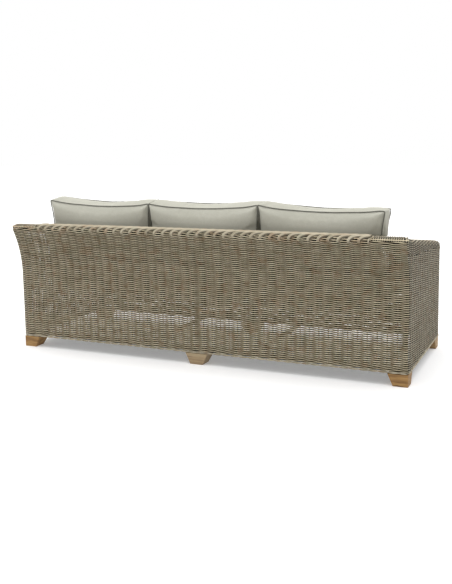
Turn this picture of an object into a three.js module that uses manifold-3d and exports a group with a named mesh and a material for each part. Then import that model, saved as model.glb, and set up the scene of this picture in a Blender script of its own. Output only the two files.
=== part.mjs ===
import * as THREE from 'three';
import { mergeVertices } from 'three/addons/utils/BufferGeometryUtils.js';
import Module from 'manifold-3d';

// Three-seat garden sofa: woven skins over a tube frame, hardwood feet, six loose cushions.
// Millimetres. +Z is up, the sitter looks along -Y, and the origin is on the floor at the
// middle of the overall box. Left and right are the sitter's, so left is +X.

// Driving dimensions of the woven body
const overallWidth = 2200;
const overallDepth = 898;
const backTop = 710;
const backRake = 68;
const rakeStart = 420;
const armWidth = 180;
const skinThickness = 10;
const edgeRadius = 20;
const clearance = 0.3;

// The arm's top line, from the level ledge at the back to the rounded nose
const ledgeDepth = 45;
const shoulderRadius = 40;
const shoulderAngle = THREE.MathUtils.degToRad(18);
const dipRadius = 600;
const armSlope = THREE.MathUtils.degToRad(7.1);
const noseRadius = 55;
const rearCornerRadius = 24;

// Frame tube
const tubeRadius = 12.5;
const tubeBore = 11;
const backMiddleRailHeight = 525;

// Seat
const deckTop = 365;
const deckThickness = 8;
const seatCount = 3;

// Woven rim under the skins
const rimHeight = 12;

// Feet and their bolts
const footHeight = 60;
const footBottomSize = 72;
const footTaper = 27;
const footInset = 4;
const boltRadius = 4;
const boltHeadRadius = 8;
const boltHeadHeight = 6;
const boltLength = 68;
const counterboreRadius = 10;
const counterboreDepth = 10;
const threadedPlugHeight = 15;

// Cushions
const cushionGap = 4;
const cushionDrawIn = 9;
const seatCushionThickness = 112;
const seatCushionCrown = 16;
const seatCushionFrontSetback = 5;
const backCushionHeight = 462;
const backCushionThickness = 138;
const backCushionRearCrown = 34;
const backCushionFrontCrown = 28;
const backCushionLean = THREE.MathUtils.degToRad(4);
const cushionSpareRoom = 6;

// How far cutting solids reach past what they cut
const overrun = 50;

// Fineness of the rounds
const tubeSides = 12;
const rimSides = 8;
const boltSides = 8;
const edgeSteps = 3;
const cornerSteps = 4;
const rakeSteps = 6;
const shoulderSteps = 2;
const dipSteps = 3;
const rimCornerSteps = 3;
const cushionGrid = [12, 10, 2];
const seamSearchSteps = 40;

// Values that follow from the ones above
const rightAngle = Math.PI / 2;
const halfWidth = overallWidth / 2;
const frontY = -overallDepth / 2;
const rearTopY = overallDepth / 2;
const baseRearY = rearTopY - backRake;
const armInnerX = halfWidth - armWidth;
const deckBottom = deckTop - deckThickness;
const rimBottom = footHeight + clearance;
const skinBottom = rimBottom + rimHeight + clearance;
const postInset = skinThickness + clearance + tubeRadius;
const railInset = postInset + 2 * tubeRadius + clearance;
const innerSkinInset = railInset + tubeRadius + clearance;
const backThickness = innerSkinInset + skinThickness;
const seamInset = edgeRadius + clearance;
const rearCornerY = rearTopY - rearCornerRadius;
const rearCornerZ = backTop - rearCornerRadius;
const rakeRise = rearCornerZ - rakeStart;
const rakeRadius = (backRake ** 2 - 2 * rearCornerRadius * backRake + rakeRise ** 2) / (2 * backRake);
const rakeCentreY = baseRearY + rakeRadius;
const rakeAngle = Math.asin(rakeRise / (rakeRadius + rearCornerRadius));
const shoulderY = rearTopY - ledgeDepth;
const shoulderZ = backTop - shoulderRadius;
const dipY = shoulderY - (shoulderRadius + dipRadius) * Math.sin(shoulderAngle);
const dipZ = shoulderZ + (shoulderRadius + dipRadius) * Math.cos(shoulderAngle);
const noseY = frontY + noseRadius;
const slopeStartY = dipY + dipRadius * Math.sin(armSlope);
const slopeStartZ = dipZ - dipRadius * Math.cos(armSlope);
const noseTopY = noseY - noseRadius * Math.sin(armSlope);
const noseTopZ = slopeStartZ + (noseTopY - slopeStartY) * Math.tan(armSlope);
const noseZ = noseTopZ - noseRadius * Math.cos(armSlope);
const seatPitch = 2 * armInnerX / seatCount;
const lowRailZ = footHeight + clearance + tubeRadius;
const seatRailZ = deckBottom - clearance - tubeRadius;
const topRailZ = rearCornerZ - clearance - tubeRadius;
const frontPostTop = noseZ - tubeRadius - clearance;
const postTop = rakeStart + rakeRadius * Math.sin(rakeAngle);

const wasm = await Module();
wasm.setup();

// Materials

const material = (color, roughness, metalness) => () => new THREE.MeshStandardMaterial({
  color, roughness, metalness,
});
const weaveMaterial = material(0x756b5a, 0.75, 0);
const borderMaterial = material(0x8b7f69, 0.7, 0);
const frameMaterial = material(0x4a4640, 0.5, 0.3);
const teakMaterial = material(0x8f6f48, 0.65, 0);
const steelMaterial = material(0x9a9a98, 0.35, 1);
const fabricMaterial = material(0xb3b1a3, 0.9, 0);

// Solids: turning geometry into something that can be cut, and back

function toSolid(geometry) {
  const bare = geometry.clone();
  bare.deleteAttribute('normal');
  bare.deleteAttribute('uv');
  const merged = mergeVertices(bare);
  return new wasm.Manifold(new wasm.Mesh({
    numProp: 3,
    vertProperties: Float32Array.from(merged.attributes.position.array),
    triVerts: Uint32Array.from(merged.index.array),
  }));
}

function toGeometry(solid) {
  const mesh = solid.getMesh();
  const geometry = new THREE.BufferGeometry();
  geometry.setAttribute('position', new THREE.BufferAttribute(mesh.vertProperties, 3));
  geometry.setIndex(new THREE.BufferAttribute(mesh.triVerts, 1));
  geometry.computeVertexNormals();
  return geometry;
}

function box(low, high) {
  const size = high.map((value, axis) => value - low[axis]);
  const middle = high.map((value, axis) => (value + low[axis]) / 2);
  return toSolid(new THREE.BoxGeometry(...size).translate(...middle));
}

const mirrorX = solid => solid.mirror([1, 0, 0]);

// Turns a shape's x, y and depth into Y, Z and X
const ontoSide = new THREE.Matrix4().makeBasis(
  new THREE.Vector3(0, 1, 0), new THREE.Vector3(0, 0, 1), new THREE.Vector3(1, 0, 0));
const sideShape = points => new THREE.Shape(points.map(([y, z]) => new THREE.Vector2(y, z)));

// A profile of [y, z] points, carried along X from one place to another
function alongX(points, fromX, toX) {
  const geometry = new THREE.ExtrudeGeometry(sideShape(points), { depth: toX - fromX, bevelEnabled: false });
  return toSolid(geometry.applyMatrix4(ontoSide).translate(fromX, 0, 0));
}

// Points of an arc, from one angle to another
function arc(centreY, centreZ, radius, fromAngle, toAngle, steps) {
  return Array.from({ length: steps + 1 }, (_, step) => {
    const angle = fromAngle + (toAngle - fromAngle) * step / steps;
    return [centreY + radius * Math.cos(angle), centreZ + radius * Math.sin(angle)];
  });
}

// The woven body seen from the side, drawn in by an inset. Every arc keeps its centre, so two
// insets make a wall of even thickness. The rear line runs from the top down to the rake's start.
function rearLine(inset) {
  const rake = extraSteps => arc(rakeCentreY, rakeStart, rakeRadius + inset,
    Math.PI - rakeAngle * (1 + extraSteps / rakeSteps), Math.PI, rakeSteps + extraSteps);
  if (inset >= rearCornerRadius) return rake(1);
  const corner = arc(rearCornerY, rearCornerZ, rearCornerRadius - inset, rightAngle, -rakeAngle,
    cornerSteps);
  return [...corner, ...rake(0).slice(1)];
}

function bodyOutline(inset, bottom) {
  const shoulder = arc(shoulderY, shoulderZ, shoulderRadius - inset,
    rightAngle + shoulderAngle, rightAngle, shoulderSteps);
  const dip = arc(dipY, dipZ, dipRadius + inset, armSlope - rightAngle, shoulderAngle - rightAngle,
    dipSteps);
  const nose = arc(noseY, noseZ, noseRadius - inset, Math.PI, rightAngle + armSlope, cornerSteps);
  return [
    [frontY + inset, bottom], ...nose, ...dip, ...shoulder.slice(1),
    ...rearLine(inset), [baseRearY - inset, bottom],
  ];
}

// How far back the rear surface lies at a height, for an inset
function surfaceY(inset, z) {
  const line = [...rearLine(inset), [baseRearY - inset, 0]];
  const next = line.findIndex(([, height]) => height <= z);
  const [lowY, lowZ] = line[next];
  const [highY, highZ] = line[Math.max(next - 1, 0)];
  const share = highZ > lowZ ? (z - lowZ) / (highZ - lowZ) : 0;
  return lowY + (highY - lowY) * share;
}

// The rear surface between two heights, from the top down
function surfaceLine(inset, bottom, top) {
  return [
    [surfaceY(inset, top), top],
    ...rearLine(inset).filter(([, z]) => z < top && z > bottom),
    [surfaceY(inset, bottom), bottom],
  ];
}

// A skin that follows the raked back, between two insets
function backStrip(outerInset, innerInset, bottom, top) {
  return [...surfaceLine(outerInset, bottom, top), ...surfaceLine(innerInset, bottom, top).reverse()];
}

// Arms: a rounded shell, cut into an outer side, an inner side and a cap over the top and front

function roundedArm(inset, radius, bottom) {
  const geometry = new THREE.ExtrudeGeometry(sideShape(bodyOutline(inset, bottom)), {
    depth: armWidth - 2 * inset - 2 * radius,
    bevelEnabled: true,
    bevelThickness: radius,
    bevelSize: radius,
    bevelOffset: -radius,
    bevelSegments: edgeSteps,
  });
  return toSolid(geometry.applyMatrix4(ontoSide).translate(armInnerX + inset + radius, 0, 0));
}

function armPieces() {
  const below = skinBottom - edgeRadius - overrun;
  const shell = roundedArm(0, edgeRadius, below)
    .subtract(roundedArm(skinThickness, edgeRadius - skinThickness, below - overrun));
  const reach = overallDepth + overrun;
  const slice = (fromX, toX, bottom) => shell.intersect(
    box([fromX, -reach, bottom], [toX, reach, backTop + overrun]));
  const innerSeam = armInnerX + seamInset;
  const outerSeam = halfWidth - seamInset;
  const behindBack = alongX([
    ...surfaceLine(backThickness + clearance, skinBottom, rearCornerZ + clearance),
    [reach, skinBottom], [reach, rearCornerZ + clearance],
  ], armInnerX - overrun, halfWidth + overrun);
  const rearWall = box([armInnerX - overrun, baseRearY - skinThickness - clearance, 0],
    [halfWidth + overrun, reach, rearCornerZ + clearance]);
  return {
    outer: slice(outerSeam, halfWidth + overrun, skinBottom),
    inner: slice(armInnerX - overrun, innerSeam, deckBottom).subtract(behindBack),
    cap: slice(innerSeam + clearance, outerSeam - clearance, skinBottom).subtract(rearWall),
  };
}

// Frame tubes: a ring of points carried along straight runs and bends

class Route extends THREE.Curve {
  constructor(points, startDirection, endDirection) {
    super();
    this.stations = points.map(([x, y, z]) => new THREE.Vector3(x, y, z));
    this.startDirection = startDirection;
    this.endDirection = endDirection;
  }

  getPointAt(share) {
    const place = share * (this.stations.length - 1);
    const index = Math.min(Math.floor(place), this.stations.length - 2);
    return this.stations[index].clone().lerp(this.stations[index + 1], place - index);
  }

  getTangentAt(share) {
    const last = this.stations.length - 1;
    const index = Math.round(share * last);
    if (index === 0 && this.startDirection) return this.startDirection.clone();
    if (index === last && this.endDirection) return this.endDirection.clone();
    const before = this.stations[Math.max(index - 1, 0)];
    const after = this.stations[Math.min(index + 1, last)];
    const here = this.stations[index];
    const incoming = index > 0 ? here.clone().sub(before).normalize() : new THREE.Vector3();
    const outgoing = index < last ? after.clone().sub(here).normalize() : new THREE.Vector3();
    return incoming.add(outgoing).normalize();
  }
}

function rod(points, radius) {
  const ring = Array.from({ length: tubeSides }, (_, side) => {
    const angle = 2 * Math.PI * side / tubeSides;
    return new THREE.Vector2(radius * Math.cos(angle), radius * Math.sin(angle));
  });
  return toSolid(new THREE.ExtrudeGeometry(new THREE.Shape(ring), {
    steps: points.length - 1,
    extrudePath: new Route(points),
    bevelEnabled: false,
  }));
}

// The same route with its two ends moved out, so that a bore runs through them
function stretched(points, distance) {
  const moved = points.map(point => new THREE.Vector3(...point));
  const last = moved.length - 1;
  const startStep = moved[0].clone().sub(moved[1]).setLength(distance);
  const endStep = moved[last].clone().sub(moved[last - 1]).setLength(distance);
  moved[0].add(startStep);
  moved[last].add(endStep);
  return moved.map(point => point.toArray());
}

function tube(points) {
  return rod(points, tubeRadius).subtract(rod(stretched(points, overrun), tubeBore));
}

// An upright tube with a threaded plug in its lower end, over a foot bolt
function plugged(points) {
  const [x, y, z] = points[0];
  const boreStart = [[x, y, z + threadedPlugHeight], ...points.slice(1)];
  const bore = rod([boreStart[0], ...stretched(points, overrun).slice(1)], tubeBore);
  const hole = rod([[x, y, z - overrun], [x, y, z + threadedPlugHeight + clearance]],
    boltRadius + clearance);
  return rod(points, tubeRadius).subtract(bore).subtract(hole);
}

// The room that a crosswise rail takes, so that a tube that meets it is coped to its round
function railRoom(y, z) {
  return rod([[-overallWidth, y, z], [overallWidth, y, z]], tubeRadius + clearance);
}

function crossRail(y, z) {
  const reach = halfWidth - skinThickness - clearance;
  return tube([[-reach, y, z], [reach, y, z]]);
}

function lengthwiseRail(x, z) {
  const fromY = frontY + railInset;
  const toY = baseRearY - railInset;
  return tube([[x, fromY, z], [x, toY, z]]).subtract(railRoom(fromY, z)).subtract(railRoom(toY, z));
}

function rearPost(x) {
  const bend = arc(rakeCentreY, rakeStart, rakeRadius + postInset, Math.PI, Math.PI - rakeAngle, rakeSteps);
  const low = [x, baseRearY - postInset, footHeight + clearance];
  const start = [x, ...bend[0]];
  const route = [low, start, ...stretched(bend.map(([y, z]) => [x, y, z]), tubeRadius).slice(1)];
  const above = box([x - overrun, 0, postTop], [x + overrun, overallDepth, backTop + overrun]);
  return plugged(route).subtract(above);
}

function armRail(x) {
  const bend = arc(noseY, noseZ, noseRadius - postInset, Math.PI, rightAngle + armSlope, cornerSteps);
  const topRailY = surfaceY(railInset, topRailZ);
  const [bendY, bendZ] = bend[bend.length - 1];
  const end = [topRailY, bendZ + (topRailY - bendY) * Math.tan(armSlope)];
  const start = [frontY + postInset, frontPostTop + clearance];
  return tube([start, ...bend, end].map(([y, z]) => [x, y, z])).subtract(railRoom(topRailY, topRailZ));
}

function frontPost(x, top, hasFoot) {
  const y = frontY + postInset;
  const points = [[x, y, footHeight + clearance], [x, y, top]];
  return hasFoot ? plugged(points) : tube(points);
}

// Woven rim along one side of the base, an oval bead that turns half of each corner

function rimBead(halfLength, faceDistance) {
  const radius = edgeRadius - skinThickness / 2;
  const quarter = Math.PI / 4 - clearance / radius;
  const corner = arc(halfLength - edgeRadius, faceDistance - edgeRadius, radius,
    rightAngle - quarter, rightAngle, rimCornerSteps);
  const mirrored = corner.map(([along, out]) => [-along, out]).reverse();
  const outward = new THREE.Vector3(-1, 1, 0).normalize();
  const inward = new THREE.Vector3(-1, -1, 0).normalize();
  const route = new Route([...corner, ...mirrored].map(([along, out]) => [along, out, 0]), outward, inward);
  const oval = new THREE.Shape(Array.from({ length: rimSides }, (_, side) => {
    const angle = 2 * Math.PI * side / rimSides;
    return new THREE.Vector2(rimHeight / 2 * Math.cos(angle), skinThickness / 2 * Math.sin(angle));
  }));
  const steps = route.stations.length - 1;
  return new THREE.ExtrudeGeometry(oval, { steps, extrudePath: route, bevelEnabled: false });
}

// Feet: a block square at the floor. Its outer faces are upright and the others flare upwards.
// The signs say which corner it stands in; a middle foot flares on both sides.

function foot(xSign, ySign) {
  const flareLeft = xSign === 0 ? footTaper : 0;
  const leftX = xSign === 0 ? footBottomSize / 2 : halfWidth - footInset;
  const rightX = leftX - footBottomSize;
  const block = new THREE.BoxGeometry(1, 1, 1).translate(0, 0, 0.5);
  const place = block.attributes.position;
  for (let index = 0; index < place.count; index += 1) {
    const isTop = place.getZ(index) > 0;
    const isLeft = place.getX(index) > 0;
    const isOuter = place.getY(index) > 0;
    const x = isLeft ? leftX + (isTop ? flareLeft : 0) : rightX - (isTop ? footTaper : 0);
    const y = isOuter ? 0 : -footBottomSize - (isTop ? footTaper : 0);
    place.setXYZ(index, x, y, isTop ? footHeight : 0);
  }
  let solid = toSolid(block);
  if (xSign < 0) solid = mirrorX(solid);
  if (ySign < 0) solid = solid.mirror([0, 1, 0]);
  const outerY = ySign > 0 ? baseRearY - footInset : frontY + footInset;
  const [boltX, boltY] = boltPlace(xSign, ySign);
  return solid.translate([0, outerY, 0])
    .subtract(rod([[boltX, boltY, -overrun], [boltX, boltY, counterboreDepth]], counterboreRadius))
    .subtract(rod([[boltX, boltY, 0], [boltX, boltY, footHeight + overrun]], boltRadius + clearance));
}

function boltPlace(xSign, ySign) {
  return [xSign * (halfWidth - postInset), ySign > 0 ? baseRearY - postInset : frontY + postInset];
}

function bolt(xSign, ySign) {
  const headTop = counterboreDepth - clearance;
  const profile = [
    [0, headTop - boltHeadHeight], [boltHeadRadius, headTop - boltHeadHeight], [boltHeadRadius, headTop],
    [boltRadius, headTop], [boltRadius, headTop + boltLength], [0, headTop + boltLength],
  ].map(([radius, z]) => new THREE.Vector2(radius, z));
  const geometry = new THREE.LatheGeometry(profile, boltSides).rotateX(rightAngle);
  const [x, y] = boltPlace(xSign, ySign);
  return geometry.translate(x, y, 0);
}

// Cushions: a box whose faces crown and whose edges are drawn in between the corners.
// Width runs along X, height along Y and thickness along Z; each face has its own crown.

function cushion(width, height, thickness, lowCrown, highCrown) {
  const geometry = new THREE.BoxGeometry(2, 2, 2, ...cushionGrid);
  const place = geometry.attributes.position;
  for (let index = 0; index < place.count; index += 1) {
    const across = place.getX(index);
    const along = place.getY(index);
    const through = place.getZ(index);
    const crown = (1 - across ** 2) * (1 - along ** 2);
    const crownHeight = through > 0 ? highCrown : lowCrown;
    place.setXYZ(
      index,
      across * (width / 2 - cushionDrawIn * (1 - along ** 2)),
      along * (height / 2 - cushionDrawIn * (1 - across ** 2)),
      through * (thickness / 2 + crownHeight * crown),
    );
  }
  return geometry;
}

// The back cushion leans on the inner skin with its crown. Its rear seam starts as far forward
// as the crown needs at every height.
const backCushionBottom = deckTop + clearance + backCushionThickness * Math.sin(backCushionLean);

const backCushionSeamY = Math.min(...Array.from({ length: seamSearchSteps + 1 }, (_, step) => {
  const share = step / seamSearchSteps;
  const height = backCushionHeight * share;
  const along = 2 * share - 1;
  const crown = backCushionRearCrown * (1 - along ** 2);
  const z = backCushionBottom + height * Math.cos(backCushionLean) - crown * Math.sin(backCushionLean);
  const leanBack = height * Math.sin(backCushionLean) + crown * Math.cos(backCushionLean);
  return surfaceY(backThickness, Math.min(z, rearCornerZ)) - clearance - leanBack;
}));

const backCushionFrontY = backCushionSeamY - backCushionThickness * Math.cos(backCushionLean)
  - backCushionFrontCrown;

function backCushion(seat) {
  const width = seatPitch - cushionGap;
  const geometry = cushion(width, backCushionHeight, backCushionThickness,
    backCushionFrontCrown, backCushionRearCrown);
  geometry.translate(0, backCushionHeight / 2, -backCushionThickness / 2);
  const up = new THREE.Vector3(0, Math.sin(backCushionLean), Math.cos(backCushionLean));
  const rearward = new THREE.Vector3(0, Math.cos(backCushionLean), -Math.sin(backCushionLean));
  geometry.applyMatrix4(new THREE.Matrix4().makeBasis(new THREE.Vector3(-1, 0, 0), up, rearward));
  return geometry.translate(seat * seatPitch, backCushionSeamY, backCushionBottom);
}

function seatCushion(seat) {
  const width = seatPitch - cushionGap;
  const low = frontY + seatCushionFrontSetback;
  const high = backCushionFrontY - cushionSpareRoom;
  const geometry = cushion(width, high - low, seatCushionThickness, 0, seatCushionCrown);
  return geometry.translate(seat * seatPitch, (low + high) / 2,
    deckTop + clearance + seatCushionThickness / 2);
}

// Assembly

const sofa = new THREE.Group();

function add(name, shape, look) {
  const geometry = shape.isBufferGeometry ? shape : toGeometry(shape);
  const mesh = new THREE.Mesh(geometry, look);
  mesh.name = name;
  sofa.add(mesh);
}

const sides = [['left', 1], ['right', -1]];

// Frame
add('back_top_rail', crossRail(surfaceY(railInset, topRailZ), topRailZ), frameMaterial());
add('back_middle_rail', crossRail(surfaceY(railInset, backMiddleRailHeight), backMiddleRailHeight),
  frameMaterial());
add('seat_rail_rear', crossRail(baseRearY - railInset, seatRailZ), frameMaterial());
add('seat_rail_front', crossRail(frontY + railInset, seatRailZ), frameMaterial());
add('bottom_rail_rear', crossRail(baseRearY - railInset, lowRailZ), frameMaterial());
add('bottom_rail_front', crossRail(frontY + railInset, lowRailZ), frameMaterial());
add('rear_post_middle', rearPost(0), frameMaterial());
add('front_post_middle', frontPost(0, deckBottom - clearance, true), frameMaterial());
for (const [side, sign] of sides) {
  const outerX = sign * (halfWidth - postInset);
  const innerX = sign * (armInnerX + postInset);
  add(`rear_post_${side}`, rearPost(outerX), frameMaterial());
  add(`front_post_outer_${side}`, frontPost(outerX, frontPostTop, true), frameMaterial());
  add(`front_post_inner_${side}`, frontPost(innerX, frontPostTop, false), frameMaterial());
  add(`arm_rail_outer_${side}`, armRail(outerX), frameMaterial());
  add(`arm_rail_inner_${side}`, armRail(innerX), frameMaterial());
  add(`bottom_rail_${side}`, lengthwiseRail(outerX, lowRailZ), frameMaterial());
  add(`bottom_cross_rail_${side}`, lengthwiseRail(sign * seatPitch / 2, lowRailZ), frameMaterial());
  add(`seat_cross_rail_inner_${side}`, lengthwiseRail(sign * seatPitch / 2, seatRailZ), frameMaterial());
  add(`seat_cross_rail_outer_${side}`,
    lengthwiseRail(sign * (armInnerX + skinThickness), seatRailZ), frameMaterial());
}

// Woven skins
const arm = armPieces();
for (const [side, sign] of sides) {
  for (const [piece, solid] of Object.entries(arm)) {
    add(`${side}_arm_${piece}_weave`, sign > 0 ? solid : mirrorX(solid), weaveMaterial());
  }
}
const betweenArms = armInnerX - clearance;
const outerSkinReach = halfWidth - seamInset - clearance;
const innerSkinReach = armInnerX + skinThickness - clearance;
const apronReach = armInnerX + seamInset;
add('back_outer_weave', alongX(backStrip(0, skinThickness, skinBottom, rearCornerZ - clearance),
  -outerSkinReach, outerSkinReach), weaveMaterial());
add('back_inner_weave', alongX(backStrip(innerSkinInset, backThickness, deckTop + clearance,
  rearCornerZ - clearance), -innerSkinReach, innerSkinReach), weaveMaterial());
add('front_apron_weave', box([-apronReach, frontY, skinBottom],
  [apronReach, frontY + skinThickness, deckBottom - clearance]), weaveMaterial());
add('seat_deck_weave', box([-betweenArms, frontY, deckBottom],
  [betweenArms, baseRearY - postInset - tubeRadius - clearance, deckTop]), weaveMaterial());

// Borders
const borderFrontY = surfaceY(backThickness, rearCornerZ) + rearCornerRadius;
add('back_top_border', alongX([
  ...arc(rearCornerY, rearCornerZ, rearCornerRadius, 0, rightAngle, cornerSteps),
  ...arc(borderFrontY, rearCornerZ, rearCornerRadius, rightAngle, Math.PI, cornerSteps),
], -betweenArms, betweenArms), borderMaterial());
const rimMiddle = rimBottom + rimHeight / 2;
const rimHalfDepth = (baseRearY - frontY) / 2;
const rimMiddleY = (baseRearY + frontY) / 2;
const longRim = () => rimBead(halfWidth, rimHalfDepth);
const shortRim = () => rimBead(rimHalfDepth, halfWidth);
add('bottom_border_rear', longRim().translate(0, rimMiddleY, rimMiddle), borderMaterial());
add('bottom_border_front', longRim().rotateZ(Math.PI).translate(0, rimMiddleY, rimMiddle), borderMaterial());
add('bottom_border_left', shortRim().rotateZ(-rightAngle).translate(0, rimMiddleY, rimMiddle),
  borderMaterial());
add('bottom_border_right', shortRim().rotateZ(rightAngle).translate(0, rimMiddleY, rimMiddle),
  borderMaterial());

// Feet and bolts
for (const [end, ySign] of [['rear', 1], ['front', -1]]) {
  for (const [side, xSign] of [...sides, ['middle', 0]]) {
    add(`foot_${end}_${side}`, foot(xSign, ySign), teakMaterial());
    add(`foot_bolt_${end}_${side}`, bolt(xSign, ySign), steelMaterial());
  }
}

// Cushions
for (const [side, seat] of [...sides, ['middle', 0]]) {
  add(`seat_cushion_${side}`, toSolid(seatCushion(seat)), fabricMaterial());
  add(`back_cushion_${side}`, toSolid(backCushion(seat)), fabricMaterial());
}

export default sofa;
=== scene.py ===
import math
import bpy
import bmesh
import numpy as np
from mathutils import Matrix, Vector
from mathutils.bvhtree import BVHTree


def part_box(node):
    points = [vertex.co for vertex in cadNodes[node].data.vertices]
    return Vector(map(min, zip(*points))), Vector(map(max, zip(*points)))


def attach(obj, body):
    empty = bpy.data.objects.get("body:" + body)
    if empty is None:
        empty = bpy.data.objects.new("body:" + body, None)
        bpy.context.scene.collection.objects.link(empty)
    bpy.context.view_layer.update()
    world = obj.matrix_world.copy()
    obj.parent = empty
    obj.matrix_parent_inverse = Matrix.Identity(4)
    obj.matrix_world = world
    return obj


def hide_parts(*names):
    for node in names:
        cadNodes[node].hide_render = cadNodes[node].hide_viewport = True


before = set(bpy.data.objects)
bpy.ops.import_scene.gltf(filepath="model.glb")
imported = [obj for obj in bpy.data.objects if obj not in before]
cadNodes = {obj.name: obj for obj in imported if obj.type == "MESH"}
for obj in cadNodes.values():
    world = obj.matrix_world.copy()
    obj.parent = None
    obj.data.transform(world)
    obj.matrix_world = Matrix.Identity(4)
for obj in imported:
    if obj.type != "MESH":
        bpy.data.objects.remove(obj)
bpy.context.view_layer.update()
rootBody = "sofa_frame"
sideSigns = {"left": 1, "right": -1}
print("frame loaded:", len(cadNodes), "nodes")


def placed(name, data):
    item = bpy.data.objects.new(name, data)
    bpy.context.scene.collection.objects.link(item)
    return item


def evaluatedMesh(item):
    graph = bpy.context.evaluated_depsgraph_get()
    return bpy.data.meshes.new_from_object(item.evaluated_get(graph), depsgraph=graph)


def vertexArray(mesh, field="co"):
    values = np.zeros(len(mesh.vertices) * 3)
    mesh.vertices.foreach_get(field, values)
    return values.reshape(-1, 3)


def weldedNode(name):
    bm = bmesh.new()
    bm.from_mesh(cadNodes[name].data)
    bmesh.ops.remove_doubles(bm, verts=bm.verts, dist=1e-5)
    return bm


# camera, at the photograph's place
cameraSet = {
    "position": (-1.807, 3.981, 1.148),
    "yaw": math.radians(24.30),
    "pitch": math.radians(7.76),
    "roll": math.radians(-0.9),
    "focalPixels": 796.56,
    "imageHeight": 584,
    "principalAbove": 42,  # pixels from the picture's middle up to the optical axis
    "sensor": 36.0,
}


def makeCamera(v):
    camera = placed("camera", bpy.data.cameras.new("camera"))
    camera.data.sensor_width = v["sensor"]
    camera.data.lens = v["focalPixels"] / v["imageHeight"] * v["sensor"]
    camera.data.shift_y = -v["principalAbove"] / v["imageHeight"]
    ahead = Vector((math.sin(v["yaw"]) * math.cos(v["pitch"]),
                    -math.cos(v["yaw"]) * math.cos(v["pitch"]), -math.sin(v["pitch"])))
    right = ahead.cross(Vector((0, 0, 1))).normalized()
    up = right.cross(ahead)
    c, s = math.cos(v["roll"]), math.sin(v["roll"])
    right, up = right * c + up * s, up * c - right * s
    turn = Matrix((right, up, -ahead)).transposed().to_4x4()
    camera.matrix_world = Matrix.Translation(v["position"]) @ turn
    bpy.context.scene.camera = camera


makeCamera(cameraSet)
print("camera placed")


# shader helpers: a socket that takes part in sums, and one method for every other node
class Wire:
    def __init__(self, shader, socket):
        self.shader = shader
        self.socket = socket

    def combine(self, operation, first, second):
        return self.shader.node("ShaderNodeMath", {"operation": operation}, {0: first, 1: second})

    def __add__(self, other):
        return self.combine("ADD", self, other)

    def __sub__(self, other):
        return self.combine("SUBTRACT", self, other)

    def __mul__(self, other):
        return self.combine("MULTIPLY", self, other)

    def __rsub__(self, other):
        return self.combine("SUBTRACT", other, self)

    __radd__ = __add__
    __rmul__ = __mul__


class Shader:
    def __init__(self, name, kind="materials", surface="Principled BSDF"):
        self.owner = getattr(bpy.data, kind).new(name)
        self.owner.use_nodes = True
        self.tree = self.owner.node_tree
        self.surface = self.tree.nodes[surface]

    def node(self, kind, settings=None, inputs=None, output=0):
        made = self.tree.nodes.new(kind)
        for key, value in (settings or {}).items():
            if key == "stops":
                ramp = made.color_ramp.elements
                while len(ramp) < len(value):
                    ramp.new(0.5)
                for element, (place, colour) in zip(ramp, value):
                    element.position = place
                    element.color = (*colour, 1)
            else:
                setattr(made, key, value)
        for key, value in (inputs or {}).items():
            self.feed(made.inputs[key], value)
        return Wire(self, made.outputs[output])

    def feed(self, socket, value):
        if isinstance(value, Wire):
            self.tree.links.new(value.socket, socket)
        else:
            socket.default_value = value

    def place(self, scale=(1, 1, 1), turn=(0, 0, 0)):
        coords = self.node("ShaderNodeTexCoord", output="Object")
        return self.node("ShaderNodeMapping", None, {"Vector": coords, "Scale": scale, "Rotation": turn})

    def noise(self, vector, scale=1.0, detail=2.0, roughness=0.5, distortion=0.0):
        return self.node("ShaderNodeTexNoise", None, {
            "Vector": vector, "Scale": scale, "Detail": detail, "Roughness": roughness,
            "Distortion": distortion})

    def patches(self, scale, detail=2.0, roughness=0.5):
        return self.noise(self.place(scale), 1.0, detail, roughness)

    def ramp(self, value, stops):
        return self.node("ShaderNodeValToRGB", {"stops": stops}, {"Fac": value})

    def span(self, value, low, high, to=(0.0, 1.0), kind="LINEAR"):
        return self.node("ShaderNodeMapRange", {"clamp": True, "interpolation_type": kind}, {
            "Value": value, "From Min": low, "From Max": high, "To Min": to[0], "To Max": to[1]})
    def blend(self, factor, first, second, mode="MIX"):
        return self.node("ShaderNodeMix", {"data_type": "RGBA", "blend_type": mode},
                         {"Factor": factor, 6: first, 7: second}, output=2)

    def bump(self, height, distance):
        return self.node("ShaderNodeBump", None, {"Height": height, "Distance": distance})

    def finish(self, **sockets):
        for key, value in sockets.items():
            self.feed(self.surface.inputs[key.replace("_", " ")], value)
        return self.owner


def strandMaterial(v):
    s = Shader(v["name"])

    def attribute(name, output):
        return s.node("ShaderNodeAttribute", {"attribute_name": name}, output=output)

    def tinted(colour, look, turn=(0, 0, 0)):
        cloudy = s.noise(s.place(look["scale"], turn), 1.0, 1.0)
        amount = s.span(cloudy, *look["span"], (0.0, look["strength"]))
        return s.blend(amount, colour, (*look["tint"], 1), "MULTIPLY")

    exposed = attribute("exposed", "Fac")
    streakPlace = s.node("ShaderNodeMapping", None, {
        "Vector": attribute("strandPlace", "Vector"), "Scale": v["streakScale"]})
    streak = s.noise(streakPlace)
    tone = attribute("shade", "Fac") + (streak - 0.5) * v["streakStrength"]
    tone = tone + (s.patches(v["patchScale"]) - 0.5) * v["patchStrength"]
    colour = tinted(tinted(s.ramp(tone, v["stops"]), v["red"]), v["green"], v["green"]["turn"])
    # painted shade: the colour goes over to the painted shade's colour, and grows rougher, where a strand
    # is not exposed
    colour = s.blend(exposed, (*v["paintedShade"], 1), colour)
    roughness = s.span(streak, 0.3, 0.7, v["roughness"]) + (1 - exposed) * v["paintedShadeRoughness"]
    return s.finish(Base_Color=colour, Roughness=roughness, Normal=s.bump(streak, v["bump"]),
                    Specular_IOR_Level=v["specular"])


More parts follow.
